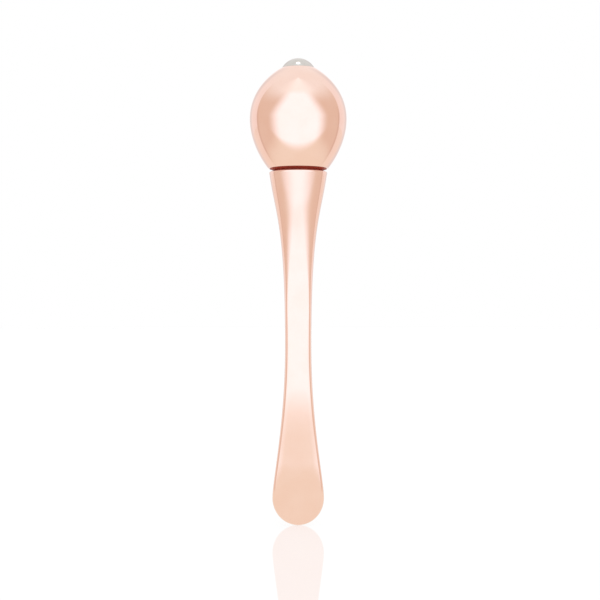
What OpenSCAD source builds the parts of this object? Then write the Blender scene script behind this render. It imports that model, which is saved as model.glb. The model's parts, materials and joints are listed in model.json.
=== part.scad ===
// Heated eye massager wand: a plated spatula handle, a bulb head that unscrews for its cells,
// and a warm sprung dome that switches the wand on when it is pressed.
// Sizes are in millimetres. Z runs up the wand from the end of the paddle, and the front faces -Y.

/* [Handle] */
// Length of the handle, from the end of the paddle to the rim
handle_h = 113.4; // [106:0.1:130]
// Diameter of the round rim
rim_d = 18.66; // [17.6:0.02:24]
// Radius of the rim's rounded edge
rim_round = 0.3; // [0.1:0.05:0.5]
// Angle at which the neck leaves the rim, in degrees
neck_lean = 8.2; // [4:0.2:14]
// Height of the waist above the end of the paddle
waist_h = 57.5; // [46:0.5:66]
// Width of the waist
waist_w = 8.5; // [7:0.02:11]
// Thickness of the waist
waist_t = 5.8; // [4.6:0.1:8]
// Width of the paddle at its widest
paddle_w = 16.56; // [12:0.02:22]
// Thickness of the paddle
paddle_t = 3.2; // [2.4:0.1:4.4]
// Height at which the paddle is widest, where its rounded end begins
paddle_round_h = 8.7; // [7:0.1:12]
// Height up to which the paddle has flat parallel faces
paddle_flat_h = 20; // [14:0.5:28]
// Width of the rounded edge along the flat part
edge_w = 2.1; // [1.2:0.1:3]
// Length over which the round neck becomes flat
flatten_run = 36; // [28:1:44]

/* [Bulb] */
// Height of the bulb from its lower lip to its crown
bulb_h = 32.3; // [31.5:0.05:42]
// Largest diameter of the bulb
bulb_d = 31.14; // [26:0.02:40]
// Height of the widest place above the lip
bulb_widest_h = 15.9; // [12:0.1:20]
// Diameter of the lower lip
lip_d = 19.4; // [18.4:0.1:24]
// Radius of the lip's rounded edge
lip_round = 0.4; // [0.2:0.05:0.6]
// Angle at which the bulb leaves the lip, in degrees
lip_flare = 52; // [42:1:60]
// Angle at which the bulb meets the crown, in degrees
crown_lean = 28.7; // [18:0.1:32]
// Wall of the bulb's shell
shell_wall = 1; // [0.6:0.05:1.4]

/* [Neck] */
// Height of the open groove between the bulb and the rim
groove_h = 0.9; // [0.6:0.05:1.6]
// Width of the seal ring at its foot, from the collar outwards
seal_w = 0.87; // [0.6:0.01:1.4]
// How much wider the seal ring is at its top, under the bulb's lip
seal_flare = 1.5; // [0.8:0.05:1.6]
// Length of the neck below the bulb's lip
neck_h = 6.6; // [5:0.1:8]
// Wall of the plastic cell tube
tube_wall = 0.45; // [0.35:0.05:0.6]
// Wall of the brass threaded collar
collar_wall = 0.4; // [0.3:0.05:0.6]
// Wall of the brass sleeve in the handle
sleeve_wall = 0.5; // [0.35:0.05:0.7]
// Width of the neck flange outside the chassis
flange_w = 0.5; // [0.3:0.05:0.9]
// Height of the neck flange
flange_h = 2; // [1.4:0.1:3]

/* [Cells] */
// Diameter of a button cell
cell_d = 11.6; // [10.6:0.1:11.9]
// Height of a button cell
cell_h = 5.4; // [4.2:0.1:5.8]
// How many cells are stacked
cell_count = 3; // [2:1:3]
// Diameter of the coil that presses on the cells
cell_spring_d = 5.2; // [4:0.1:6.4]
// Depth of that spring's pocket in the handle
cell_spring_h = 3; // [2.6:0.1:4]
// Thickness of the contact strips
strip_t = 0.3; // [0.2:0.05:0.35]
// Width of the contact strips
strip_w = 2; // [1.4:0.1:2.6]

/* [Massage tip] */
// Diameter of the dome
dome_d = 12; // [10.8:0.1:12.4]
// How far the dome stands out of the crown
dome_rise = 3.12; // [2.4:0.02:3.6]
// How far the tip travels when it is pressed
tip_travel = 0.6; // [0.3:0.05:0.7]
// Length of the skirt below the dome
skirt_h = 3.2; // [2.6:0.1:3.4]
// Wall of the skirt
skirt_wall = 0.6; // [0.4:0.05:0.8]
// Height of the hollow inside the dome
dome_hollow_h = 1.6; // [1.2:0.1:2]
// Thickness of the heating disc
heater_t = 0.8; // [0.5:0.05:1]
// Thickness of the insulating pad
pad_t = 1.9; // [1.6:0.1:2.2]
// Thickness of the tip's carriage
carriage_t = 1.2; // [0.9:0.1:1.5]
// Length of the stem that presses the switch
stem_h = 0.48; // [0.4:0.02:0.8]
// Wall of the guide round the tip
guide_wall = 1.55; // [1.4:0.05:2]

/* [Board and switch] */
// Side of the square switch body
switch_w = 3.5; // [3:0.1:3.8]
// Height of the switch body
switch_h = 1.5; // [1.4:0.1:1.9]
// Diameter of the switch plunger
plunger_d = 1.6; // [1.2:0.1:2]
// Thickness of the circuit board
board_t = 0.8; // [0.6:0.1:1.2]
// How far each board screw stands in from the board's edge
screw_inset = 1.2; // [1.1:0.05:1.4]
// Diameter of a board screw's shank
screw_d = 1.2; // [1:0.1:1.4]

/* [Motor] */
// Diameter of the motor's can
motor_d = 6; // [5:0.1:6.2]
// Length of the motor's can
motor_h = 6; // [5:0.1:6.6]
// Wall of the rubber sleeve round the motor
motor_sleeve_wall = 0.3; // [0.2:0.05:0.4]
// Length of the rubber sleeve
motor_sleeve_h = 4; // [3:0.1:4.6]
// Diameter of the motor's shaft
shaft_d = 1; // [0.8:0.05:1.2]
// Radius of the eccentric weight
weight_r = 2.6; // [1.8:0.05:2.8]
// Length of the eccentric weight
weight_h = 2.4; // [1.6:0.1:2.8]

/* [Hidden] */
$fn = 96;

// Colours
rose_gold = "#e9b9a4";
polished_steel = "#d5d2d2";
dark_silicone = "#6e2a20";
brass = "#c9a45c";
spring_steel = "#9a9c9e";
plastic = "#dcd8d0";
black_plastic = "#2a2a2c";

// Clearances
run_gap = 0.05;        // between pieces that slide or turn in each other
thread_gap = 0.08;     // between the collar and the sleeve, where the threads mesh
cell_gap = 0.1;        // round the cells
seat_gap = 0.02;       // between faces that move against each other
soft_gap = 0.13;       // between a soft ring and the piece that slides in it
board_gap = 0.1;       // round the circuit board
floor_gap = 0.4;       // between the neck's end and the floor of the socket
slot_gap = 0.1;        // on each side of a strip in its slot
screw_gap = 0.1;       // round a screw in the board
disc_gap = 0.1;        // round the heating disc and the pad under it
lead_gap = 0.1;        // round the leads in their holes
bead_gap = 0.1;        // round the heat sensor's bead in its pocket
pocket_gap = 1;        // round the cell spring in its pocket
rib_gap = 0.15;        // between the chassis's ribs and the bore they pass through
weight_gap = 0.2;      // between the motor's bearing and the weight
cut = 1;               // how far a cutting shape runs past the face it cuts

// Radii, from the cells outwards
cell_r = cell_d / 2;
tube_bore_r = cell_r + cell_gap;
tube_r = tube_bore_r + tube_wall;
collar_r = tube_r + collar_wall;
sleeve_bore_r = collar_r + thread_gap;
sleeve_r = sleeve_bore_r + sleeve_wall;
seal_bore_r = collar_r + run_gap;
seal_r = seal_bore_r + seal_w;
rim_r = rim_d / 2;
lip_r = lip_d / 2;
bulb_r = bulb_d / 2;

// Radii, from the tip outwards
dome_r = dome_d / 2;
skirt_bore_r = dome_r - skirt_wall;
carriage_ledge = 0.4;  // width of the ledge in the dome that the carriage seats on
hollow_r = skirt_bore_r - carriage_ledge;
heater_r = hollow_r - disc_gap;
pad_r = heater_r;
lead_inset = 0.4;
lead_reach = heater_r - lead_inset;
lead_r = 0.2;
return_wire_r = 0.22;
return_inset = 1.9;    // from the skirt's bore to the middle of the return spring's wire
return_coil_r = skirt_bore_r - return_inset;
guide_bore_r = dome_r + run_gap;
guide_r = guide_bore_r + guide_wall;
chassis_r = guide_r;
bay_wall = 1;
bay_r = chassis_r - bay_wall;
flange_r = chassis_r + flange_w;
board_r = bay_r - board_gap;
screw_reach = board_r - screw_inset;
strip_inset = 0.45;    // how deep the contact strips lie in the chassis
strip_out_r = chassis_r - strip_inset;
strip_in_r = strip_out_r - strip_t;

// Heights, from the handle upwards
lip_z = handle_h + groove_h;
crown_z = lip_z + bulb_h;
neck_z = lip_z - neck_h;
socket_z = neck_z - floor_gap;
pocket_z = socket_z - cell_spring_h;
cell_rise = 0.2;
cells_z = neck_z + cell_rise;
cell_pitch = cell_h + seat_gap;
cells_top = cells_z + cell_count * cell_pitch;
roof_z = cells_top + strip_t;
roof_t = 1.2;

// Heights, from the dome downwards
dome_top = crown_z + dome_rise;
dome_z = dome_top - dome_r;
skirt_z = dome_z - skirt_h;
hollow_z = dome_z + dome_hollow_h;
heater_z = hollow_z - heater_t;
carriage_top = heater_z - pad_t;
carriage_z = carriage_top - carriage_t;
stem_z = carriage_z - stem_h;
plunger_top = stem_z - seat_gap;
plunger_spare = 0.1;   // how much of the plunger still stands out when it is pressed in
plunger_out = tip_travel + plunger_spare;
switch_top = plunger_top - plunger_out;
board_top = switch_top - switch_h;
board_z = board_top - board_t;
guide_rise = 0.8;      // from the board to the foot of the guide
guide_z = board_top + guide_rise;
guide_drop = 0.3;      // from the middle of the dome's sphere down to the top of the guide
guide_top = dome_z - guide_drop;

// The motor hangs under the board
pin_h = 0.6;
endcap_h = 0.8;
motor_r = motor_d / 2;
motor_top = board_z - pin_h - endcap_h;
motor_z = motor_top - motor_h;
motor_sleeve_r = motor_r + motor_sleeve_wall;
web_z = motor_z + (motor_h - motor_sleeve_h) / 2;
web_top = web_z + motor_sleeve_h;
bearing_h = 0.3;
bearing_r = 1.2;
weight_top = motor_z - bearing_h - weight_gap;
weight_z = weight_top - weight_h;
shaft_r = shaft_d / 2;
shaft_out = 0.2;       // how far the shaft stands out of the weight
shaft_in = 2.6;        // how far it reaches into the can
shaft_z = weight_z - shaft_out;
shaft_top = motor_z + shaft_in;

// Outline of the handle, as [radius, height] on smooth curves between the rim, the waist and the paddle
waist_r = waist_w / 2;
paddle_r = paddle_w / 2;
neck_start = 0.26;     // share of the neck that keeps the rim's lean
neck_ease = 0.7;       // share of the neck that settles into the waist
paddle_ease = 0.52;    // share of the paddle's length that leaves the waist slowly
paddle_settle = 0.12;  // share of it that settles into the widest place
rim_base = handle_h - rim_round;
neck_span = rim_base - waist_h;
paddle_span = waist_h - paddle_round_h;
neck_curve = [
    [waist_r, waist_h],
    [waist_r, waist_h + neck_ease * neck_span],
    [rim_r - tan(neck_lean) * neck_start * neck_span, rim_base - neck_start * neck_span],
    [rim_r, rim_base]
];
paddle_curve = [
    [paddle_r, paddle_round_h],
    [paddle_r, paddle_round_h + paddle_settle * paddle_span],
    [waist_r, waist_h - paddle_ease * paddle_span],
    [waist_r, waist_h]
];
end_rings = 11;
paddle_rings = 18;
neck_rings = 22;
rim_rings = 3;
first_end_angle = 4;

// Outline of the bulb, as [radius, height]
crown_r = sqrt(dome_r * dome_r - pow(dome_r - dome_rise, 2));
widest_z = lip_z + bulb_widest_h;
lip_start = [lip_r, lip_z + lip_round * (1 - cos(lip_flare))];
lower_hold = 5.15;     // how far the flare of the lip is kept
crown_hold = 4.7;      // how far the lean of the crown is kept
lower_ease = 0.37;     // share of the lower half that runs up to the widest place
upper_ease = 0.53;     // share of the upper half that leaves the widest place
lower_curve = [
    lip_start,
    lip_start + lower_hold * [cos(lip_flare), sin(lip_flare)],
    [bulb_r, widest_z - lower_ease * bulb_widest_h],
    [bulb_r, widest_z]
];
upper_curve = [
    [bulb_r, widest_z],
    [bulb_r, widest_z + upper_ease * (crown_z - widest_z)],
    [crown_r, crown_z] + crown_hold * [cos(crown_lean), -sin(crown_lean)],
    [crown_r, crown_z]
];
bulb_steps = 18;
lip_steps = 4;

// ---------- Functions ----------

function mix(a, b, s) = a + (b - a) * s;

// A step from 0 to 1 that starts and ends softly
function ease(s) = let (c = min(1, max(0, s))) c * c * (3 - 2 * c);

function bezier(p, t) =
    pow(1 - t, 3) * p[0] + 3 * pow(1 - t, 2) * t * p[1] + 3 * (1 - t) * t * t * p[2] + pow(t, 3) * p[3];

function bezier_slope(p, t) =
    3 * pow(1 - t, 2) * (p[1] - p[0]) + 6 * (1 - t) * t * (p[2] - p[1]) + 3 * t * t * (p[3] - p[2]);

// The point on a curve moved inwards by a distance, for a wall of even thickness
function inset(p, t, d) =
    let (s = bezier_slope(p, t), n = [s.y, -s.x] / norm(s)) bezier(p, t) - d * n;

// Half thickness of the flat part of the handle at a height
function flat_half(z) =
    mix(paddle_t, waist_t, ease((z - paddle_flat_h) / (waist_h - paddle_flat_h))) / 2;

// How flat the handle is at a height: 0 is round, 1 is flat
function flatness(z) = ease((pocket_z - z) / flatten_run);

// Half thickness of the handle at a height, drawn in where the end of the paddle rounds over
function half_thickness(r, z) =
    let (full = mix(r, flat_half(z), flatness(z)), in = 1 - min(z, paddle_t) / paddle_t)
    full * sqrt(max(1 - in * in, 0.01));

// One section of the handle: two flat faces joined by round edges
edge_steps = 9;
function section(r, z) =
    let (
        e = min(mix(r, edge_w, flatness(z)), r) * 0.999,
        f = r - e,
        h = half_thickness(r, z),
        turn = 90 / edge_steps
    )
    concat(
        [for (i = [0 : edge_steps]) [f + e * cos(i * turn), h * sin(i * turn), z]],
        [for (i = [edge_steps : 2 * edge_steps]) [-f + e * cos(i * turn), h * sin(i * turn), z]],
        [for (i = [2 * edge_steps + 1 : 3 * edge_steps]) [-f + e * cos(i * turn), h * sin(i * turn), z]],
        [for (i = [3 * edge_steps : 4 * edge_steps - 1]) [f + e * cos(i * turn), h * sin(i * turn), z]]
    );

// Triangles over a stack of rings of n points each, closed by a face at each end
function loft_faces(n, rings) =
    concat(
        [[for (i = [0 : n - 1]) i]],
        [[for (i = [n - 1 : -1 : 0]) (rings - 1) * n + i]],
        [for (k = [0 : rings - 2], i = [0 : n - 1])
            let (j = (i + 1) % n) [k * n + i, (k + 1) * n + i, (k + 1) * n + j]],
        [for (k = [0 : rings - 2], i = [0 : n - 1])
            let (j = (i + 1) % n) [k * n + i, (k + 1) * n + j, k * n + j]]
    );

// Points of a wire wound round the Z axis
function coil_points(r, wire_r, low, high, turns, steps, sides) =
    [for (k = [0 : steps], i = [0 : sides - 1])
        let (a = 360 * turns * k / steps, s = 360 * i / sides, out = r + wire_r * cos(s))
        [out * cos(a), out * sin(a), mix(low, high, k / steps) - wire_r * sin(s)]];

handle_outline = concat(
    [for (i = [0 : end_rings - 1])
        let (a = mix(first_end_angle, 90, i / end_rings))
        [paddle_r * sin(a), i == 0 ? 0 : paddle_round_h * (1 - cos(a))]],
    [for (i = [0 : paddle_rings - 1]) bezier(paddle_curve, i / paddle_rings)],
    [for (i = [0 : neck_rings - 1]) bezier(neck_curve, i / neck_rings)],
    [for (i = [0 : rim_rings])
        let (a = 90 * i / rim_rings)
        [rim_r - rim_round * (1 - cos(a)), rim_base + rim_round * sin(a)]]
);

// ---------- General shapes ----------

module ring(low, high, inner, outer) {
    translate([0, 0, low])
        difference() {
            cylinder(r = outer, h = high - low);
            translate([0, 0, -cut]) cylinder(r = inner, h = high - low + 2 * cut);
        }
}

module rod(low, high, r) {
    translate([0, 0, low]) cylinder(r = r, h = high - low);
}

module block(x_low, x_high, width, low, high) {
    translate([x_low, -width / 2, low]) cube([x_high - x_low, width, high - low]);
}

module coil(r, wire_r, low, high, turns) {
    steps = ceil(turns * 20);
    sides = 8;
    polyhedron(
        points = coil_points(r, wire_r, low + wire_r, high - wire_r, turns, steps, sides),
        faces = loft_faces(sides, steps + 1)
    );
}

// ---------- Handle ----------

module handle_body() {
    polyhedron(
        points = [for (p = handle_outline) each section(p.x, p.y)],
        faces = loft_faces(4 * edge_steps + 2, len(handle_outline))
    );
}

module handle() {
    color(rose_gold)
        difference() {
            handle_body();
            rod(socket_z, handle_h + cut, sleeve_r);
            rod(pocket_z, socket_z + cut, cell_spring_d / 2 + pocket_gap);
        }
}

sleeve_lead = 0.3;     // chamfer at the mouth of the sleeve

module socket_sleeve() {
    color(brass)
        difference() {
            ring(socket_z, handle_h, sleeve_bore_r, sleeve_r);
            translate([0, 0, handle_h - sleeve_lead])
                cylinder(r1 = sleeve_bore_r, r2 = sleeve_bore_r + 2 * sleeve_lead,
                         h = 2 * sleeve_lead);
        }
}

cell_wire_r = 0.3;
cell_spring_turns = 2.75;

module battery_spring() {
    color(spring_steel)
        coil(cell_spring_d / 2, cell_wire_r, pocket_z, cells_z - seat_gap, cell_spring_turns);
}

// ---------- Neck ----------

// The seal stands on the rim, and spreads from its foot to fill the step under the bulb's lip
module neck_seal() {
    brim_h = 0.1;
    foot_h = 0.2;
    seal_top = lip_z - seat_gap;
    brim_r = seal_r + seal_flare;
    color(dark_silicone)
        rotate_extrude()
            polygon([
                [seal_bore_r, handle_h],
                [seal_r, handle_h],
                [seal_r, handle_h + foot_h],
                [brim_r, seal_top - brim_h],
                [brim_r, seal_top],
                [seal_bore_r, seal_top]
            ]);
}

module threaded_collar() {
    lead = 0.25;
    color(brass)
        rotate_extrude()
            polygon([
                [tube_r, neck_z],
                [collar_r - lead, neck_z],
                [collar_r, neck_z + lead],
                [collar_r, lip_z],
                [tube_r, lip_z]
            ]);
}

// ---------- Bulb ----------

// Outline of the bulb moved inwards by a distance, from the lip to the crown
function bulb_outline(d) = concat(
    [for (i = [0 : bulb_steps - 1]) inset(lower_curve, i / bulb_steps, d)],
    [for (i = [0 : bulb_steps]) inset(upper_curve, i / bulb_steps, d)]
);

// The space inside the bulb, less a distance from its outer face
module bulb_space(d) {
    inside = [for (p = bulb_outline(d)) if (p.y > lip_z + d) p];
    rotate_extrude()
        polygon(concat(
            [[0, lip_z + d], [inside[0].x, lip_z + d]],
            inside,
            [[0, inside[len(inside) - 1].y]]
        ));
}

module bulb_shell() {
    lip_arc = [for (i = [0 : lip_steps - 1])
        let (a = lip_flare * i / lip_steps)
        lip_start + lip_round * [sin(a) - sin(lip_flare), cos(lip_flare) - cos(a)]];
    color(rose_gold)
        difference() {
            rotate_extrude()
                polygon(concat([[0, lip_z]], lip_arc, bulb_outline(0), [[0, crown_z]]));
            bulb_space(shell_wall);
            rod(lip_z - cut, lip_z + shell_wall + cut, flange_r);
            translate([0, 0, dome_z]) sphere(r = dome_r + run_gap);
        }
}

// ---------- Chassis and cells ----------

boss_wall = 0.55;
boss_hole_r = screw_d / 2;
boss_r = boss_hole_r + boss_wall;
boss_foot = 0.4;       // how deep the bosses stand in the motor web
ledge_w = 0.6;
ledge_h = 1;
window_w = 6;
window_h = 4;
window_drop = 0.5;     // from the motor web down to the windows
slot_w = strip_w + 2 * slot_gap;
rib_w = 0.8;
rib_angles = [45 : 90 : 315];

// Ribs that stiffen the chassis, and pass through the neck of the bulb with it
module chassis_ribs() {
    for (angle = rib_angles)
        rotate(angle)
            block(chassis_r - bay_wall / 2, flange_r - rib_gap, rib_w, lip_z + flange_h / 2, board_z);
}

module chassis_core() {
    difference() {
        union() {
            rod(neck_z, lip_z + cut, tube_r);
            rod(lip_z, lip_z + flange_h, flange_r);
            rod(lip_z, guide_z, chassis_r);
            chassis_ribs();
        }
        rod(neck_z - cut, roof_z, tube_bore_r);
        rod(roof_z + roof_t, web_z, bay_r);
        rod(web_z - cut, web_top + cut, motor_sleeve_r);
        rod(web_top, board_z - ledge_h, bay_r);
        rod(board_z - ledge_h - cut, board_z + cut, bay_r - ledge_w);
        rod(board_z, guide_z + cut, bay_r);
    }
}

// Slots for the two strips, and windows at the front and back of the motor bay
module chassis_slots() {
    block(strip_in_r, chassis_r + cut, slot_w, lip_z - cut, guide_z + cut);
    block(tube_r, strip_out_r, slot_w, lip_z - cut, lip_z + strip_t);
    block(bay_r - cut, strip_out_r, slot_w, board_top - slot_gap, guide_z + cut);
    mirror([1, 0, 0]) {
        block(strip_in_r, chassis_r + cut, slot_w, cells_top - slot_gap, guide_z + cut);
        block(tube_bore_r - cut, strip_out_r, slot_w, cells_top - slot_gap, roof_z);
        block(bay_r - cut, strip_out_r, slot_w, board_top - slot_gap, guide_z + cut);
    }
    translate([-window_w / 2, -chassis_r - cut, web_z - window_drop - window_h])
        cube([window_w, 2 * (chassis_r + cut), window_h]);
}

module chassis() {
    color(plastic)
        union() {
            difference() {
                chassis_core();
                chassis_slots();
            }
            for (side = [-1, 1])
                translate([0, side * screw_reach, 0])
                    ring(web_top - boss_foot, board_z, boss_hole_r, boss_r);
        }
}

module button_cells() {
    cap_step = 1.1;
    cap_r = cell_r - cap_step;
    cap_h = 0.45;
    edge = 0.35;
    color(spring_steel)
        for (i = [0 : cell_count - 1])
            translate([0, 0, cells_z + i * cell_pitch])
                rotate_extrude()
                    polygon([
                        [0, 0], [cap_r, 0], [cap_r, cap_h], [cell_r - edge, cap_h],
                        [cell_r, cap_h + edge], [cell_r, cell_h - edge],
                        [cell_r - edge, cell_h], [0, cell_h]
                    ]);
}

tab_reach = 1.1;       // how far each strip's tab reaches onto the board
tab_in_r = board_r - tab_reach;

module positive_contact() {
    contact_inset = 0.6;
    contact_r = cell_r - contact_inset;
    color(brass)
        mirror([1, 0, 0]) union() {
            rod(cells_top, roof_z, contact_r);
            block(contact_r - cut, strip_out_r, strip_w, cells_top, roof_z);
            block(strip_in_r, strip_out_r, strip_w, cells_top, board_top + strip_t);
            block(tab_in_r, strip_out_r, strip_w, board_top, board_top + strip_t);
        }
}

module ground_strip() {
    color(brass)
        union() {
            block(tube_r, strip_out_r, strip_w, lip_z, lip_z + strip_t);
            block(strip_in_r, strip_out_r, strip_w, lip_z, board_top + strip_t);
            block(tab_in_r, strip_out_r, strip_w, board_top, board_top + strip_t);
        }
}

// ---------- Motor ----------

module motor_sleeve() {
    color(black_plastic) ring(web_z, web_top, motor_r, motor_sleeve_r);
}

module motor_case() {
    edge = 0.3;
    color(polished_steel)
        rotate_extrude()
            polygon([
                [shaft_r + run_gap, motor_z - bearing_h],
                [bearing_r, motor_z - bearing_h],
                [bearing_r, motor_z],
                [motor_r - edge, motor_z],
                [motor_r, motor_z + edge],
                [motor_r, motor_top],
                [0, motor_top],
                [0, shaft_top + seat_gap],
                [shaft_r + run_gap, shaft_top + seat_gap]
            ]);
}

// The can's plastic end, with a nub that stands between the pins
module motor_endcap() {
    can_lip = 0.3;
    nub_r = 0.8;
    nub_h = 0.3;
    color(black_plastic)
        union() {
            rod(motor_top, motor_top + endcap_h, motor_r - can_lip);
            rod(motor_top, motor_top + endcap_h + nub_h, nub_r);
        }
}

module motor_pins() {
    pin_reach = 1.3;
    pin_r = 0.25;
    color(brass)
        for (side = [-1, 1])
            translate([side * pin_reach, 0, 0]) rod(motor_top + endcap_h, board_z, pin_r);
}

module motor_shaft() {
    color(polished_steel) rod(shaft_z, shaft_top, shaft_r);
}

module eccentric_weight() {
    hub_wall = 0.6;
    hub_r = shaft_r + hub_wall;
    color(spring_steel)
        difference() {
            union() {
                rod(weight_z, weight_top, hub_r);
                intersection() {
                    rod(weight_z, weight_top, weight_r);
                    translate([-weight_r, -weight_r, weight_z])
                        cube([2 * weight_r, weight_r, weight_h]);
                }
            }
            rod(weight_z - cut, weight_top + cut, shaft_r);
        }
}

// ---------- Board and switch ----------

module circuit_board() {
    color("#1f6b45")
        difference() {
            rod(board_z, board_top, board_r);
            for (side = [-1, 1])
                translate([0, side * screw_reach, 0])
                    rod(board_z - cut, board_top + cut, screw_d / 2 + screw_gap);
        }
}

chip_reach = 4.3;      // from the axis to the middle of each chip
chip_w = 1.8;
chip_l = 2.4;
chip_h = 0.7;
small_reach = 4.7;     // from the axis to the middle of each smaller part
small_w = 1;
small_l = 0.5;
small_h = 0.45;

module board_components() {
    color(black_plastic) {
        for (angle = [0, 180])
            rotate(angle)
                block(chip_reach - chip_w / 2, chip_reach + chip_w / 2, chip_l, board_z - chip_h, board_z);
        for (angle = [45 : 90 : 315])
            rotate(angle)
                block(small_reach - small_w / 2, small_reach + small_w / 2, small_l,
                      board_z - small_h, board_z);
    }
}

screw_head_r = 1.05;
screw_head_h = 0.6;
screw_h = 3;

module board_screws() {
    color(polished_steel)
        for (side = [-1, 1])
            translate([0, side * screw_reach, 0]) union() {
                rod(board_top, board_top + screw_head_h, screw_head_r);
                rod(board_top - screw_h, board_top + screw_head_h, screw_d / 2);
            }
}

plunger_in = 0.6;      // length of the plunger inside the switch at rest
foot_out = 0.6;        // how far the switch's feet stand out on the board
foot_w = 0.7;
foot_t = 0.2;

module switch_feet() {
    for (end = [0, 180], side = [-1, 1])
        rotate(end) translate([0, side * switch_w / 4, 0])
            block(0, switch_w / 2 + foot_out, foot_w, board_top, board_top + foot_t);
}

module switch_body() {
    color(black_plastic)
        difference() {
            union() {
                block(-switch_w / 2, switch_w / 2, switch_w, board_top, switch_top);
                switch_feet();
            }
            rod(switch_top - plunger_in - tip_travel - run_gap, switch_top + cut,
                plunger_d / 2 + run_gap);
        }
}

module switch_plunger() {
    color("#e8e4dc") rod(switch_top - plunger_in, plunger_top, plunger_d / 2);
}

// ---------- Massage tip ----------

seal_wire_r = 0.26;
seal_ring_r = dome_r + soft_gap + seal_wire_r;
seal_groove_h = 0.7;
seal_drop = 1.15;      // from the top of the guide down to the seal
seal_z = guide_top - seal_drop;

module tip_guide() {
    groove_r = seal_ring_r + seal_wire_r + run_gap;
    color(plastic)
        difference() {
            intersection() {
                rod(guide_z, guide_top, guide_r);
                bulb_space(shell_wall + seat_gap);
            }
            rod(guide_z - cut, guide_top + cut, guide_bore_r);
            rod(seal_z - seal_groove_h / 2, seal_z + seal_groove_h / 2, groove_r);
        }
}

module tip_seal() {
    color(dark_silicone)
        translate([0, 0, seal_z])
            rotate_extrude() translate([seal_ring_r, 0]) circle(r = seal_wire_r, $fn = 32);
}

return_turns = 2.5;

module return_spring() {
    color(spring_steel)
        coil(return_coil_r, return_wire_r, board_top, carriage_z - seat_gap, return_turns);
}

lead_angles = [45, 225];

module heater_leads() {
    color("#a03020")
        for (angle = lead_angles)
            rotate(angle) translate([lead_reach, 0, 0]) rod(board_top, heater_z, lead_r);
}

module lead_holes(low, high) {
    hole_r = lead_r + lead_gap;
    for (angle = lead_angles)
        rotate(angle) translate([lead_reach, 0, 0]) rod(low - cut, high + cut, hole_r);
}

module massage_tip() {
    color(polished_steel)
        difference() {
            union() {
                rod(skirt_z, dome_z, dome_r);
                intersection() {
                    translate([0, 0, dome_z]) sphere(r = dome_r);
                    rod(dome_z, dome_top + cut, dome_r + cut);
                }
            }
            rod(skirt_z - cut, dome_z, skirt_bore_r);
            rod(dome_z - cut, hollow_z, hollow_r);
        }
}

module heater_disc() {
    color("#f2f0ea") rod(heater_z, hollow_z, heater_r);
}

bead_r = 0.5;

module thermistor() {
    color(black_plastic) translate([0, 0, heater_z - bead_r]) sphere(r = bead_r, $fn = 48);
}

module insulating_pad() {
    pocket_h = 2 * bead_r + bead_gap;
    color("#e6dcc8")
        difference() {
            rod(carriage_top, heater_z, pad_r);
            rod(heater_z - pocket_h, heater_z + cut, bead_r + bead_gap);
            lead_holes(carriage_top, heater_z);
        }
}

module tip_carriage() {
    stem_r = 1.2;
    collar_h = 0.3;
    collar_gap = 0.12;
    color(plastic)
        difference() {
            union() {
                rod(carriage_z, carriage_top, skirt_bore_r);
                rod(carriage_z - collar_h, carriage_z, return_coil_r - return_wire_r - collar_gap);
                rod(stem_z, carriage_z, stem_r);
            }
            lead_holes(carriage_z, carriage_top);
        }
}

// ---------- Nodes ----------

handle();
socket_sleeve();
battery_spring();
neck_seal();
bulb_shell();
chassis();
threaded_collar();
button_cells();
positive_contact();
ground_strip();
motor_sleeve();
motor_case();
motor_endcap();
motor_pins();
motor_shaft();
eccentric_weight();
circuit_board();
board_components();
board_screws();
switch_body();
switch_plunger();
tip_guide();
tip_seal();
return_spring();
heater_leads();
massage_tip();
heater_disc();
thermistor();
insulating_pad();
tip_carriage();
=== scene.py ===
"""The looks of a heated eye massager wand, built round its packed construction.

The wand is a plated handle that runs from a round socketed neck to a flat paddle, a bulb head that
screws into it, and a sprung steel dome at the crown. Each sub-assembly is a class that holds its
sizes, builds its meshes and dresses them. The wand's sizes are in millimetres. The studio's are in
metres, and so are the meshes.
"""

import json
import logging
import math
from collections.abc import Callable, Iterable, Sequence
from dataclasses import dataclass, field, replace
from enum import Enum

import bmesh
import bpy
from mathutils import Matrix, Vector


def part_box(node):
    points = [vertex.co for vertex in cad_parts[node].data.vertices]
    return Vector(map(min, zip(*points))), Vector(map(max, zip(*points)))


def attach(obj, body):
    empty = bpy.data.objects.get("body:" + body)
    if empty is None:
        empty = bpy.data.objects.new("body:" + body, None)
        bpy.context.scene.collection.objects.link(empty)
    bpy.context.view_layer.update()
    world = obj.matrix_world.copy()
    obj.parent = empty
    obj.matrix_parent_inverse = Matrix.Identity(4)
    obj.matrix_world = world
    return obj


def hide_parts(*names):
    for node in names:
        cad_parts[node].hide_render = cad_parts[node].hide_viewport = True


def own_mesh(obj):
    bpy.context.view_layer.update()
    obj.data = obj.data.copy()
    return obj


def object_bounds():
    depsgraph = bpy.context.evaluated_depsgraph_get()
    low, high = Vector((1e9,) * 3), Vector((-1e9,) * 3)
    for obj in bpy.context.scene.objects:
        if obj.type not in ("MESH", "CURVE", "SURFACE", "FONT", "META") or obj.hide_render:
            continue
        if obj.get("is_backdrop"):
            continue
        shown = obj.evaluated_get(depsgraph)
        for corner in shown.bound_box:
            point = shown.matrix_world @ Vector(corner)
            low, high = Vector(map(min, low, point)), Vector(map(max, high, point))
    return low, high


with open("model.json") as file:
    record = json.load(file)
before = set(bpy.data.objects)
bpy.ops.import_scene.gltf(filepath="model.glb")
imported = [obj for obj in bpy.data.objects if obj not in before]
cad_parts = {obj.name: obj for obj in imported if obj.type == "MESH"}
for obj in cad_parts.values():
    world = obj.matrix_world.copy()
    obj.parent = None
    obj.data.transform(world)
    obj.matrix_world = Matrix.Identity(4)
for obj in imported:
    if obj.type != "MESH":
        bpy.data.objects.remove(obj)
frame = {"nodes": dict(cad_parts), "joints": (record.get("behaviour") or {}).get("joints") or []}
cad_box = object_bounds()

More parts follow.
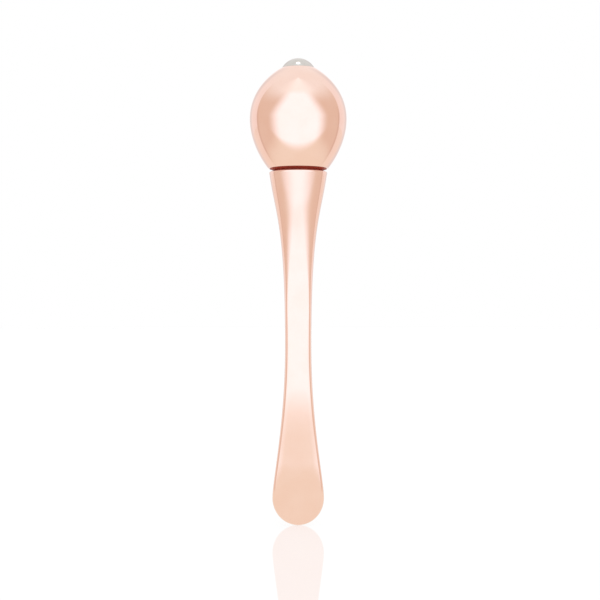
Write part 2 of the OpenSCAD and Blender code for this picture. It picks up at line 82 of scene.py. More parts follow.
log = logging.getLogger("wand")

Point = tuple[float, float]
Span = tuple[float, float]
Profile = list[Point]
Color = tuple[float, float, float]

MM = 0.001
# How far the handle's mouth stands below the seal's foot, so that the groove is dark
MOUTH_GAP = 0.18
# Where most values of a noise lie
NOISE_SPAN: Span = (0.3, 0.7)
WHITE: Color = (1.0, 1.0, 1.0)


class Body(Enum):
    """The bodies that the finer pieces ride on."""

    HANDLE = "handle"
    SEAL = "seal"
    HEAD = "head"
    TIP = "tip"


class Slot(Enum):
    """The record's material slots."""

    ROSE_PLATING = "rose_plating"
    POLISHED_STEEL = "polished_steel"
    SPRING_STEEL = "spring_steel"
    CELL_STEEL = "cell_steel"
    BRASS = "brass"
    DARK_SILICONE = "dark_silicone"
    BLACK_RUBBER = "black_rubber"
    IVORY_PLASTIC = "ivory_plastic"
    BLACK_PLASTIC = "black_plastic"
    BOARD_LAMINATE = "board_laminate"
    WHITE_CERAMIC = "white_ceramic"
    FELT_PAD = "felt_pad"
    LEAD_JACKET = "lead_jacket"
    DENSE_ALLOY = "dense_alloy"


# ---------- Sizes and curves ----------


def mix(a: float, b: float, share: float) -> float:
    """The value that lies a share of the way from a to b."""
    return a + (b - a) * share


def clamp(value: float, low: float = 0.0, high: float = 1.0) -> float:
    """The value, held between two limits."""
    return min(high, max(low, value))


def ease(share: float) -> float:
    """A step from 0 to 1 that starts and ends softly."""
    held = clamp(share)
    return held * held * (3 - 2 * held)


@dataclass(frozen=True)
class Box:
    """The box of a construction node at rest, in millimetres."""

    low: Vector
    high: Vector

    @classmethod
    def of(cls, node: str) -> "Box":
        """The box of one node.

        Args:
            node: The node's name.

        Returns:
            Its box in millimetres.
        """
        low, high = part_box(node)
        return cls(low / MM, high / MM)

    @property
    def radius(self) -> float:
        """Half of the box's width along X."""
        return (self.high.x - self.low.x) / 2


@dataclass(frozen=True)
class Curve:
    """A cubic Bezier curve over (radius, height) points."""

    start: Vector
    leave: Vector
    arrive: Vector
    end: Vector

    def at(self, t: float) -> Vector:
        """The point at a share t of the curve."""
        s = 1 - t
        return (s**3 * self.start + 3 * s * s * t * self.leave
                + 3 * s * t * t * self.arrive + t**3 * self.end)

    def slope(self, t: float) -> Vector:
        """The direction of travel at a share t of the curve."""
        s = 1 - t
        return (s * s * (self.leave - self.start) + 2 * s * t * (self.arrive - self.leave)
                + t * t * (self.end - self.arrive))

    def inset(self, t: float, depth: float) -> Vector:
        """The point moved towards the axis by a depth, square to the curve."""
        along = self.slope(t).normalized()
        return self.at(t) - depth * Vector((along.y, -along.x))

    def where(self, test: Callable[[float], bool], steps: int = 40) -> float:
        """Finds the share of the curve at which a test turns true.

        Args:
            test: A test of the share, false at the start of the curve and true at its end.
            steps: How many times the interval is halved.

        Returns:
            The share.
        """
        low, high = 0.0, 1.0
        for _ in range(steps):
            middle = (low + high) / 2
            low, high = (low, middle) if test(middle) else (middle, high)
        return high


def arc(centre: Point, radius: float, first: float, last: float, steps: int) -> Profile:
    """Points on an arc, both ends included.

    Args:
        centre: The arc's centre.
        radius: Its radius.
        first: The angle of its first point, in degrees from the radius axis.
        last: The angle of its last point.
        steps: How many steps it has.

    Returns:
        The points.
    """
    angles = [math.radians(mix(first, last, i / steps)) for i in range(steps + 1)]
    return [(centre[0] + radius * math.cos(a), centre[1] + radius * math.sin(a)) for a in angles]


# ---------- Meshes ----------


@dataclass
class Shape:
    """Points in millimetres, and the faces over them, gathered before a mesh is made."""

    points: list[tuple[float, float, float]] = field(default_factory=list)
    faces: list[tuple[int, ...]] = field(default_factory=list)

    def ring(self, points: Iterable[Sequence[float]]) -> list[int]:
        """Adds a ring of points.

        Args:
            points: The points, in order.

        Returns:
            Their numbers in the shape.
        """
        first = len(self.points)
        self.points.extend(tuple(p) for p in points)
        return list(range(first, len(self.points)))

    def bridge(self, low: list[int], high: list[int]) -> None:
        """Joins two rings of as many points, or a ring and a single point."""
        count = max(len(low), len(high))
        for i in range(count):
            j = (i + 1) % count
            corners = (low[i % len(low)], low[j % len(low)], high[j % len(high)], high[i % len(high)])
            self.faces.append(tuple(dict.fromkeys(corners)))

    def cap(self, ring: list[int]) -> None:
        """Closes a ring with one face."""
        self.faces.append(tuple(ring))

    def loft(self, rings: Sequence[Iterable[Sequence[float]]]) -> None:
        """Skins a stack of rings that have as many points each, and closes both of its ends."""
        numbers = [self.ring(r) for r in rings]
        for low, high in zip(numbers, numbers[1:]):
            self.bridge(low, high)
        for end in (numbers[0], numbers[-1]):
            self.cap(end)

    def lathe(self, profile: Profile, segments: int, thread: "Thread | None" = None) -> None:
        """Turns a profile round the Z axis, and closes it.

        Args:
            profile: The (radius, height) points. Both ends lie on the axis, or the last joins the
                first.
            segments: How many segments it has round the axis.
            thread: A thread that is cut into it.
        """
        angles = [math.tau * i / segments for i in range(segments)]
        rings = []
        for radius, height in profile:
            if radius == 0:
                rings.append(self.ring([(0, 0, height)]))
                continue
            radii = [thread.cut(radius, height, a) if thread else radius for a in angles]
            rings.append(self.ring([(r * math.cos(a), r * math.sin(a), height)
                                    for r, a in zip(radii, angles)]))
        on_axis = profile[0][0] == 0 and profile[-1][0] == 0
        followers = rings[1:] if on_axis else rings[1:] + rings[:1]
        for low, high in zip(rings, followers):
            self.bridge(low, high)

    def tube(self, path: Sequence[Vector], radius: float, sides: int = 16) -> None:
        """Sweeps a round section along a path, with rounded ends.

        Args:
            path: The points of the centreline.
            radius: The radius of the section.
            sides: How many sides the section has.
        """
        end_rings = 4
        last = len(path) - 1
        angles = [math.tau * k / sides for k in range(sides)]
        rings: list[list[Vector]] = []
        across = (path[1] - path[0]).orthogonal().normalized()
        for i, point in enumerate(path):
            along = (path[min(i + 1, last)] - path[max(i - 1, 0)]).normalized()
            across = (across - across.dot(along) * along).normalized()
            over = along.cross(across)
            sizes = [(0.0, 1.0)]
            if i == 0:
                turns = [math.pi / 2 * k / end_rings for k in range(1, end_rings)]
                sizes = [(-math.cos(a) * radius, math.sin(a)) for a in turns] + sizes
            if i == last:
                turns = [math.pi / 2 * k / end_rings for k in range(end_rings - 1, 0, -1)]
                sizes = sizes + [(math.cos(a) * radius, math.sin(a)) for a in turns]
            for shift, size in sizes:
                rings.append([point + shift * along
                              + size * radius * (math.cos(a) * across + math.sin(a) * over)
                              for a in angles])
        self.loft(rings)

    def mesh(self, name: str, sharp_deg: float = 32.0) -> bpy.types.Mesh:
        """Makes the mesh, in metres, with its faces looking outwards.

        Args:
            name: The mesh's name.
            sharp_deg: Edges that turn by more than this are shaded sharp.

        Returns:
            The mesh.
        """
        made = bpy.data.meshes.new(name)
        made.from_pydata([tuple(c * MM for c in p) for p in self.points], [], self.faces)
        work = bmesh.new()
        work.from_mesh(made)
        bmesh.ops.recalc_face_normals(work, faces=work.faces)
        work.to_mesh(made)
        work.free()
        made.polygons.foreach_set("use_smooth", [True] * len(made.polygons))
        made.set_sharp_from_angle(angle=math.radians(sharp_deg))
        made.update()
        return made


@dataclass(frozen=True)
class Thread:
    """A right-hand thread round the Z axis, cut outside a collar or inside a sleeve."""

    wall: float
    root: float
    crest: float
    low: float
    high: float
    run_out: float = 0.5
    phase: float = 0.0
    lead: float = 2.5
    starts: int = 2
    root_w: float = 0.8
    crest_w: float = 0.35
    datum: float = 0.0

    @property
    def pitch(self) -> float:
        """The distance from one ridge to the next."""
        return self.lead / self.starts

    def cut(self, radius: float, height: float, angle: float) -> float:
        """The radius of the threaded face.

        Args:
            radius: The radius before the thread is cut. Only the threaded wall's is changed.
            height: The height of the point.
            angle: Its angle round the axis, in radians.

        Returns:
            The radius with the thread cut.
        """
        if not math.isclose(radius, self.wall):
            return radius
        turns = (height - self.datum) / self.pitch - self.starts * angle / math.tau + self.phase
        off = abs(turns - round(turns)) * self.pitch
        ridge = clamp((self.root_w / 2 - off) / ((self.root_w - self.crest_w) / 2))
        threaded = mix(self.root, self.crest, ridge)
        strength = ease((height - self.low) / self.run_out) * ease((self.high - height) / self.run_out)
        return mix(self.wall, threaded, strength)


# ---------- Node graphs ----------


class Graph:
    """Adds nodes to one material's or world's tree, and links them."""

    def __init__(self, tree: bpy.types.NodeTree) -> None:
        """Takes over a tree and empties it."""
        self.tree = tree
        tree.nodes.clear()

    def node(self, kind: str, inputs: dict | None = None, **settings: object) -> bpy.types.Node:
        """Adds a node.

        Args:
            kind: The node's type.
            inputs: What goes into its sockets, each a value or another node's output.
            settings: The node's own settings.

        Returns:
            The node.
        """
        made = self.tree.nodes.new(kind)
        for name, value in settings.items():
            setattr(made, name, value)
        for socket, value in (inputs or {}).items():
            if isinstance(value, bpy.types.NodeSocket):
                self.tree.links.new(value, made.inputs[socket])
            else:
                made.inputs[socket].default_value = value
        return made

    def math(self, operation: str, *values: object) -> bpy.types.NodeSocket:
        """The result of a sum on numbers or sockets."""
        inputs = dict(enumerate(values))
        return self.node("ShaderNodeMath", inputs, operation=operation).outputs[0]

    def step(self, value: bpy.types.NodeSocket, low: float, high: float, first: float = 0.0,
             last: float = 1.0, soft: bool = True) -> bpy.types.NodeSocket:
        """Maps a value from one range to another and holds it there.

        Args:
            value: The socket that is mapped.
            low: Where the range starts.
            high: Where it ends.
            first: The result at low.
            last: The result at high.
            soft: Whether it starts and ends softly.

        Returns:
            The mapped value.
        """
        shape = "SMOOTHSTEP" if soft else "LINEAR"
        return self.node("ShaderNodeMapRange", {0: value, 1: low, 2: high, 3: first, 4: last},
                         interpolation_type=shape).outputs[0]

    def between(self, share: bpy.types.NodeSocket, a: bpy.types.NodeSocket,
                b: bpy.types.NodeSocket) -> bpy.types.NodeSocket:
        """The number that lies a share of the way from a to b."""
        return self.node("ShaderNodeMix", {0: share, 2: a, 3: b}, data_type="FLOAT").outputs[0]

    def mix_shaders(self, share: object, a: bpy.types.NodeSocket,
                    b: bpy.types.NodeSocket) -> bpy.types.NodeSocket:
        """The shader that lies a share of the way from a to b."""
        return self.node("ShaderNodeMixShader", {0: share, 1: a, 2: b}).outputs[0]

    def blend(self, share: object, a: object, b: object) -> bpy.types.NodeSocket:
        """The colour that lies a share of the way from a to b."""
        inputs = {0: share, 6: opaque(a), 7: opaque(b)}
        return self.node("ShaderNodeMix", inputs, data_type="RGBA").outputs[2]

    def place(self, grain: Sequence[float]) -> bpy.types.NodeSocket:
        """The piece's own coordinates, in grains of so many millimetres along each axis."""
        where = self.node("ShaderNodeTexCoord").outputs["Object"]
        per_metre = tuple(1 / (size * MM) for size in grain)
        return self.node("ShaderNodeMapping", {"Vector": where, "Scale": per_metre}).outputs[0]

    def noise(self, grain: Sequence[float], detail: float = 2.0) -> bpy.types.NodeSocket:
        """A noise from 0 to 1.

        Args:
            grain: The size of its grain along each axis, in millimetres.
            detail: How many finer octaves it has.

        Returns:
            The noise.
        """
        inputs = {"Vector": self.place(grain), "Scale": 1.0, "Detail": detail}
        return self.node("ShaderNodeTexNoise", inputs).outputs["Fac"]

    def bump(self, height: bpy.types.NodeSocket, depth: float,
             under: bpy.types.NodeSocket | None = None) -> bpy.types.NodeSocket:
        """A normal from a height.

        Args:
            height: The height, from 0 to 1.
            depth: What a height of 1 is, in millimetres.
            under: A normal that this one lies on.

        Returns:
            The normal.
        """
        inputs = {"Height": height, "Distance": depth * MM}
        if under is not None:
            inputs["Normal"] = under
        return self.node("ShaderNodeBump", inputs).outputs[0]


def opaque(color: object) -> object:
    """A colour with its alpha, or a socket as it is."""
    return (*color, 1.0) if isinstance(color, tuple) else color


# ---------- Finishes ----------


@dataclass(frozen=True)
class Finish:
    """A procedural finish: a colour that drifts, and a roughness that varies."""

    name: str
    slot: Slot
    color: Color
    drift: Color
    drift_mm: float = 6.0
    rough: Span = (0.4, 0.5)
    rough_mm: tuple[float, float, float] = (0.5, 0.5, 0.5)
    metallic: float = 0.0

    def material(self) -> bpy.types.Material:
        """The finish's material, made once."""
        name = f"{self.name}_finish"
        found = bpy.data.materials.get(name)
        if found:
            return found
        made = bpy.data.materials.new(name)
        made.use_nodes = True
        g = Graph(made.node_tree)
        drifting = g.step(g.noise((self.drift_mm,) * 3), *NOISE_SPAN)
        color = g.blend(drifting, self.color, self.drift)
        roughness = g.step(g.noise(self.rough_mm, 4.0), *NOISE_SPAN, *self.rough)
        inputs = {"Base Color": color, "Roughness": roughness, "Metallic": self.metallic}
        shader = g.node("ShaderNodeBsdfPrincipled", inputs | self.detail(g, color)).outputs[0]
        g.node("ShaderNodeOutputMaterial", {"Surface": shader})
        return made

    def detail(self, g: Graph, color: bpy.types.NodeSocket) -> dict[str, object]:
        """Makes what is special to this kind of finish.

        Args:
            g: The material's graph.
            color: The finish's colour.

        Returns:
            What goes into the shader's sockets.
        """
        return {}


@dataclass(frozen=True)
class PolishedPlating(Finish):
    """Buffed plating, with faint hairlines and a slow waviness from polishing."""

    wave_mm: float = 9.0
    wave_depth: float = 0.002
    hairline_mm: tuple[float, float, float] = (0.05, 0.05, 2.4)
    hairline_depth: float = 0.00003

    def detail(self, g: Graph, color: bpy.types.NodeSocket) -> dict[str, object]:
        """The waviness and the hairlines."""
        waves = g.bump(g.noise((self.wave_mm,) * 3, 0.0), self.wave_depth)
        return {"Normal": g.bump(g.noise(self.hairline_mm, 3.0), self.hairline_depth, under=waves)}


@dataclass(frozen=True)
class TurnedMetal(Finish):
    """Metal turned on a lathe, with fine rings that follow the cut."""

    metallic: float = 1.0
    ring_mm: float = 0.08
    ring_run_mm: float = 40.0
    ring_depth: float = 0.0006

    def detail(self, g: Graph, color: bpy.types.NodeSocket) -> dict[str, object]:
        """The rings of the cutting tool."""
        rings = g.noise((self.ring_run_mm, self.ring_run_mm, self.ring_mm), 3.0)
        return {"Normal": g.bump(rings, self.ring_depth)}


@dataclass(frozen=True)
class SoftMoulding(Finish):
    """Moulded plastic, rubber or silicone, with the fine grain of its mould."""

    grain_mm: float = 0.12
    grain_depth: float = 0.004

    def detail(self, g: Graph, color: bpy.types.NodeSocket) -> dict[str, object]:
        """The grain."""
        return {"Normal": g.bump(g.noise((self.grain_mm,) * 3, 3.0), self.grain_depth)}


@dataclass(frozen=True)
class BoardMask(Finish):
    """Solder mask over copper: tracks stand a little proud of the laminate and show paler."""

    track: Color = (0.10, 0.38, 0.22)
    track_mm: float = 1.1
    track_repeat: float = 0.25
    track_edge: Span = (0.17, 0.20)
    track_depth: float = 0.035

    def detail(self, g: Graph, color: bpy.types.NodeSocket) -> dict[str, object]:
        """The tracks."""
        cells = g.node("ShaderNodeTexVoronoi", {"Vector": g.place((self.track_mm,) * 3), "Scale": 1.0},
                       distance="MANHATTAN", feature="F1").outputs["Distance"]
        tracks = g.step(g.math("PINGPONG", cells, self.track_repeat), *self.track_edge)
        return {"Base Color": g.blend(tracks, color, self.track), "Normal": g.bump(tracks, self.track_depth)}


@dataclass(frozen=True)
class PressedFelt(Finish):
    """Pressed fibres, with a soft sheen and a rough face."""

    fibre_mm: tuple[float, float, float] = (0.05, 0.4, 0.15)
    fibre_depth: float = 0.05
    sheen: float = 0.4

    def detail(self, g: Graph, color: bpy.types.NodeSocket) -> dict[str, object]:
        """The fibres and the sheen."""
        fibres = g.noise(self.fibre_mm, 5.0)
        return {"Sheen Weight": self.sheen, "Normal": g.bump(fibres, self.fibre_depth)}


ROSE_PLATING = PolishedPlating(
    "rose_plating", Slot.ROSE_PLATING, (0.955, 0.650, 0.570), (0.945, 0.630, 0.545),
    rough=(0.05, 0.075), rough_mm=(0.4, 0.4, 3.0), metallic=1.0)
POLISHED_STEEL = PolishedPlating(
    "polished_steel", Slot.POLISHED_STEEL, (0.665, 0.585, 0.555), (0.64, 0.555, 0.525), drift_mm=2.5,
    rough=(0.07, 0.12), metallic=1.0, wave_mm=4.0, wave_depth=0.001)
HANDLE_PLATING = replace(ROSE_PLATING, name="handle_plating", rough=(0.08, 0.10))
SPRING_STEEL = TurnedMetal(
    "spring_steel", Slot.SPRING_STEEL, (0.52, 0.53, 0.54), (0.44, 0.45, 0.47), rough=(0.18, 0.32))
CELL_STEEL = TurnedMetal(
    "cell_steel", Slot.CELL_STEEL, (0.66, 0.66, 0.65), (0.60, 0.60, 0.59), rough=(0.16, 0.28))
BRASS = TurnedMetal(
    "brass", Slot.BRASS, (0.78, 0.56, 0.25), (0.70, 0.48, 0.20), rough=(0.16, 0.30),
    ring_mm=0.16, ring_depth=0.0004)
DENSE_ALLOY = TurnedMetal(
    "dense_alloy", Slot.DENSE_ALLOY, (0.34, 0.34, 0.35), (0.27, 0.27, 0.28), rough=(0.35, 0.5),
    ring_mm=0.3, ring_depth=0.002)
DARK_SILICONE = SoftMoulding(
    "dark_silicone", Slot.DARK_SILICONE, (0.44, 0.06, 0.034), (0.38, 0.05, 0.028),
    rough=(0.38, 0.5), grain_mm=0.2, grain_depth=0.001)
BLACK_RUBBER = SoftMoulding(
    "black_rubber", Slot.BLACK_RUBBER, (0.03, 0.03, 0.032), (0.02, 0.02, 0.022), rough=(0.6, 0.75))
IVORY_PLASTIC = SoftMoulding(
    "ivory_plastic", Slot.IVORY_PLASTIC, (0.74, 0.71, 0.64), (0.69, 0.66, 0.59), rough=(0.38, 0.5))
BLACK_PLASTIC = SoftMoulding(
    "black_plastic", Slot.BLACK_PLASTIC, (0.022, 0.022, 0.025), (0.03, 0.03, 0.033), rough=(0.3, 0.45))
WHITE_CERAMIC = SoftMoulding(
    "white_ceramic", Slot.WHITE_CERAMIC, (0.84, 0.83, 0.80), (0.78, 0.77, 0.74), drift_mm=1.0,
    rough=(0.3, 0.4), grain_mm=0.06, grain_depth=0.006)
LEAD_JACKET = SoftMoulding(
    "lead_jacket", Slot.LEAD_JACKET, (0.42, 0.03, 0.025), (0.35, 0.025, 0.02), rough=(0.28, 0.38))
BOARD_LAMINATE = BoardMask(
    "board_laminate", Slot.BOARD_LAMINATE, (0.02, 0.16, 0.08), (0.016, 0.13, 0.065), rough=(0.22, 0.3))
FELT_PAD = PressedFelt(
    "felt_pad", Slot.FELT_PAD, (0.66, 0.58, 0.46), (0.58, 0.50, 0.38), drift_mm=1.2, rough=(0.85, 0.95))


# ---------- Pieces ----------


def make_piece(name: str, shape: Shape, body: Body, finish: Finish, node: str,
               sharp_deg: float = 32.0) -> bpy.types.Object:
    """Makes a piece of the wand that takes the place of a construction node.

    Args:
        name: The piece's name.
        shape: Its shape.
        body: The body that it rides on.
        finish: Its finish.
        node: The construction node that it stands for.
        sharp_deg: Edges that turn by more than this are shaded sharp.

    Returns:
        The piece's object.
    """
    piece = bpy.data.objects.new(name, shape.mesh(name, sharp_deg))
    bpy.context.scene.collection.objects.link(piece)
    piece.data.materials.append(finish.material())
    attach(piece, body.value)
    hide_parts(node)
    log.info("%s: %d points on body %s, for %s", name, len(shape.points), body.value, node)
    return piece


def dress(finish: Finish, *nodes: str) -> None:
    """Gives construction nodes a finish, and leaves their shape as it is.

    Args:
        finish: The finish.
        nodes: The nodes' names.
    """
    for node in nodes:
        piece = frame["nodes"][node]
        piece.data.materials.clear()
        piece.data.materials.append(finish.material())
        log.info("%s: dressed in %s", node, finish.name)


@dataclass(frozen=True)
class Coil:
    """A coil spring with closed ends, which fills the box of its construction node."""

    node: str
    wire_r: float
    turns: float
    end_turns: float
    end_pitch: float
    steps_a_turn: int = 40

    def centreline(self) -> list[Vector]:
        """The points along the middle of the wire, from its lower end up."""
        box = Box.of(self.node)
        radius = box.radius - self.wire_r
        low, high = box.low.z + self.wire_r, box.high.z - self.wire_r
        open_rise = high - low - 2 * self.end_turns * self.end_pitch
        steps = round(self.turns * self.steps_a_turn)
        path = []
        for i in range(steps + 1):
            turn = self.turns * i / steps
            opened = ease((turn - self.end_turns) / (self.turns - 2 * self.end_turns))
            closed = min(turn, self.end_turns) + max(0.0, turn - (self.turns - self.end_turns))
            angle = math.tau * turn
            path.append(Vector((radius * math.cos(angle), radius * math.sin(angle),
                                low + closed * self.end_pitch + opened * open_rise)))
        return path

    def build(self, name: str, body: Body) -> bpy.types.Object:
        """Makes the spring.

        Args:
            name: The piece's name.
            body: The body that it rides on.

        Returns:
            The piece's object.
        """
        shape = Shape()
        shape.tube(self.centreline(), self.wire_r)
        return make_piece(name, shape, body, SPRING_STEEL, self.node)


@dataclass
class Handle:
    """The plated handle: a round neck with a socket, a slim waist and a flat paddle.

    The letters _h end the name of a height above the paddle's end, _w of a width, _t of a thickness
    and _r of a radius. The eases and settles are shares of a curve's height that its handles span.
    """

    rim_round: float = 0.3
    neck_lean: float = 8.2
    waist_h: float = 57.5
    waist_w: float = 8.5
    waist_t: float = 5.8
    paddle_w: float = 16.56
    paddle_t: float = 3.2
    paddle_round_h: float = 8.7
    paddle_flat_h: float = 20.0
    edge_w: float = 1.15
    flatten_run: float = 36.0
    neck_start: float = 0.26
    neck_ease: float = 0.7
    paddle_ease: float = 0.52
    paddle_settle: float = 0.12
    pocket_r: float = 3.6
    flat_share: float = 0.17
    first_end_angle: float = 4.0
    end_share: float = 0.1
    sides: int = 120

    def __post_init__(self) -> None:
        """Takes the handle's outer sizes from the frame."""
        body = Box.of("handle")
        sleeve = Box.of("socket_sleeve")
        self.top = body.high.z - MOUTH_GAP
        self.rim_r = body.radius
        self.socket_r = sleeve.radius
        self.socket_z = sleeve.low.z
        self.pocket_z = Box.of("battery_spring").low.z
        self.waist_r = self.waist_w / 2
        self.paddle_r = self.paddle_w / 2
        base = self.top - self.rim_round
        neck = base - self.waist_h
        paddle = self.waist_h - self.paddle_round_h
        lean = math.tan(math.radians(self.neck_lean)) * self.neck_start * neck
        self.neck_curve = Curve(
            Vector((self.waist_r, self.waist_h)),
            Vector((self.waist_r, self.waist_h + self.neck_ease * neck)),
            Vector((self.rim_r - lean, base - self.neck_start * neck)),
            Vector((self.rim_r, base)))
        self.paddle_curve = Curve(
            Vector((self.paddle_r, self.paddle_round_h)),
            Vector((self.paddle_r, self.paddle_round_h + self.paddle_settle * paddle)),
            Vector((self.waist_r, self.waist_h - self.paddle_ease * paddle)),
            Vector((self.waist_r, self.waist_h)))

    def flatness(self, height: float) -> float:
        """How flat the handle is at a height: 0 is round, and 1 is flat."""
        return ease((self.pocket_z - height) / self.flatten_run)

    def half_thickness(self, half_width: float, height: float) -> float:
        """Half of the handle's thickness.

        Args:
            half_width: Half of its width at the height.
            height: The height.

        Returns:
            Half of the thickness, drawn in where the end of the paddle rounds over.
        """
        rise = ease((height - self.paddle_flat_h) / (self.waist_h - self.paddle_flat_h))
        flat = mix(self.paddle_t, self.waist_t, rise) / 2
        drawn_in = 1 - min(height, self.paddle_t) / self.paddle_t
        full = mix(half_width, flat, self.flatness(height))
        return full * max(math.sqrt(1 - drawn_in * drawn_in), self.end_share)

    def section(self, half_width: float, height: float) -> list[tuple[float, float, float]]:
        """One ring of the handle: flat faces that run into round edges.

        Args:
            half_width: Half of the width of the section.
            height: Its height.

        Returns:
            The ring's points.
        """
        edge = min(mix(half_width, self.edge_w, self.flatness(height)), half_width)
        flat = half_width - edge
        deep = self.half_thickness(half_width, height)
        ring = []
        for i in range(self.sides):
            angle = math.tau * (i + 0.5) / self.sides
            along = math.cos(angle)
            ring.append((flat * clamp(along / self.flat_share, -1, 1) + edge * along,
                         deep * math.sin(angle), height))
        return ring

    def outline(self) -> Profile:
        """The half widths and heights of the rings, from the paddle's end into the socket."""
        end_steps, paddle_steps, neck_steps, rim_steps = 30, 60, 72, 6
        outline: Profile = []
        for i in range(end_steps):
            angle = math.radians(mix(self.first_end_angle, 90, i / end_steps))
            height = 0.0 if i == 0 else self.paddle_round_h * (1 - math.cos(angle))
            outline.append((self.paddle_r * math.sin(angle), height))
        outline += [tuple(self.paddle_curve.at(i / paddle_steps)) for i in range(paddle_steps)]
        outline += [tuple(self.neck_curve.at(i / neck_steps)) for i in range(neck_steps)]
        outline += arc((self.rim_r - self.rim_round, self.top - self.rim_round), self.rim_round,
                       0, 90, rim_steps)
        return outline + [
            (self.socket_r, self.top), (self.socket_r, self.socket_z),
            (self.pocket_r, self.socket_z), (self.pocket_r, self.pocket_z)]

    def build(self) -> None:
        """Makes the handle."""
        shape = Shape()
        shape.loft([self.section(r, z) for r, z in self.outline()])
        make_piece("plated_handle", shape, Body.HANDLE, HANDLE_PLATING, "handle")


@dataclass
class Neck:
    """What joins the head to the handle: two threads, a seal and the spring under the cells.

    The threads start and stop clear of the ends of their walls, and row_h is the height of a row of
    faces on them.
    """

    segments: int = 160
    row_h: float = 0.07
    thread_depth: float = 0.2
    mouth_h: float = 0.3
    mouth_flare: float = 0.1
    thread_start: float = 0.3
    thread_stop: float = 1.0
    land_h: float = 0.4
    sleeve_wall: float = 0.5
    collar_wall: float = 0.4
    lead_in: float = 0.25
    seal_w: float = 0.87
    seal_flare: float = 1.5
    seal_foot_h: float = 0.2
    seal_brim_h: float = 0.1
    seal_hollow: float = 0.06
    seal_steps: int = 12
    spring: Coil = Coil("battery_spring", 0.3, 3.75, 0.75, 0.255)

    def __post_init__(self) -> None:
        """Takes the neck's sizes from the frame."""
        self.sleeve = Box.of("socket_sleeve")
        self.collar = Box.of("threaded_collar")
        self.seal = Box.of("neck_seal")

    def rows(self, radius: float, first: float, last: float) -> Profile:
        """The rows of a wall that takes a thread, from one height to another."""
        count = math.ceil(abs(last - first) / self.row_h)
        return [(radius, mix(first, last, i / count)) for i in range(count + 1)]

    def build_sleeve(self) -> None:
        """Makes the brass sleeve with its inner thread, which runs out below the open mouth."""
        outer = self.sleeve.radius
        bore = outer - self.sleeve_wall
        root = bore + self.thread_depth
        low, high = self.sleeve.low.z, self.sleeve.high.z - MOUTH_GAP
        thread = Thread(root, root, bore - self.thread_depth, low + self.thread_start,
                        self.sleeve.high.z - self.thread_stop, phase=0.5, datum=self.collar.low.z)
        shape = Shape()
        shape.lathe([(outer, low), (outer, high), (root + self.mouth_flare, high)]
                    + self.rows(root, high - self.mouth_h, low), self.segments, thread)
        make_piece("threaded_sleeve", shape, Body.HANDLE, BRASS, "socket_sleeve")

    def build_collar(self) -> None:
        """Makes the brass collar with its outer thread, and a plain land under the seal."""
        outer = self.collar.radius
        inner = outer - self.collar_wall
        low, high = self.collar.low.z, self.collar.high.z
        thread = Thread(outer, outer - self.thread_depth, outer + self.thread_depth, low + self.lead_in,
                        self.seal.low.z - self.land_h, datum=low)
        shape = Shape()
        shape.lathe([(inner, high), (inner, low), (outer - self.lead_in, low)]
                    + self.rows(outer, low + self.lead_in, high), self.segments, thread)
        make_piece("neck_thread", shape, Body.HEAD, BRASS, "threaded_collar")

    def build_seal(self) -> None:
        """Makes the silicone ring, which spreads from a narrow foot to a thin brim under the bulb."""
        brim = self.seal.radius
        foot = brim - self.seal_flare
        inner = foot - self.seal_w
        low, high = self.seal.low.z, self.seal.high.z
        start = Vector((foot, low + self.seal_foot_h))
        end = Vector((brim, high - self.seal_brim_h))
        flank = []
        for i in range(self.seal_steps + 1):
            share = i / self.seal_steps
            point = start.lerp(end, share)
            flank.append((point.x - self.seal_hollow * math.sin(math.pi * share), point.y))
        round_r = self.seal_brim_h / 2
        first, last, edge_steps = -60, 90, 5
        edge = arc((brim - round_r, high - round_r), round_r, first, last, edge_steps)
        shape = Shape()
        shape.lathe([(inner, high), (inner, low), (foot, low)] + flank + edge, self.segments)
        make_piece("seal_ring", shape, Body.SEAL, DARK_SILICONE, "neck_seal", sharp_deg=40)

    def build(self) -> None:
        """Makes every piece of the neck."""
        self.build_sleeve()
        self.build_collar()
        self.build_seal()
        self.spring.build("cell_spring", Body.HANDLE)


